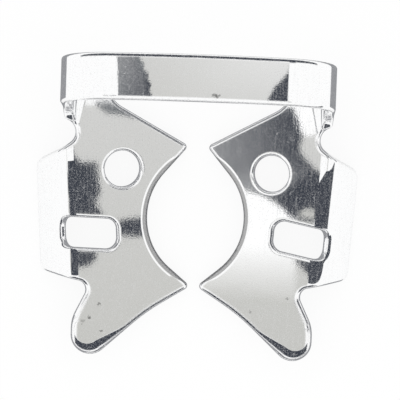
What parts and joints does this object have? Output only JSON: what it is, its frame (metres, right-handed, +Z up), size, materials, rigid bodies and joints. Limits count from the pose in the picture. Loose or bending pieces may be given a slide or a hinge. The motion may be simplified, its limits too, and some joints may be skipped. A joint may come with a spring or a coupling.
{
  "type": "rubber dam clamp",
  "caption": "Folded spring-steel dental clamp with pronged jaws round the tooth, drooping wings, front lobes, forceps holes and a raised bow that joins the jaws.",
  "frame": {"origin": "middle of the underside of the box round the clamp", "axes": "+X across the jaws towards the right wing as seen from above with the bow at the back, +Y towards the bow, +Z up from the gum side to the top of the bow"},
  "size_m": [0.0266, 0.0254, 0.0136],
  "materials": {
    "polished_steel": "mirror-polished stainless spring steel with fine scratches"
  },
  "bodies": {
    "root": {"clamp": "polished_steel"}
  },
  "joints": []
}
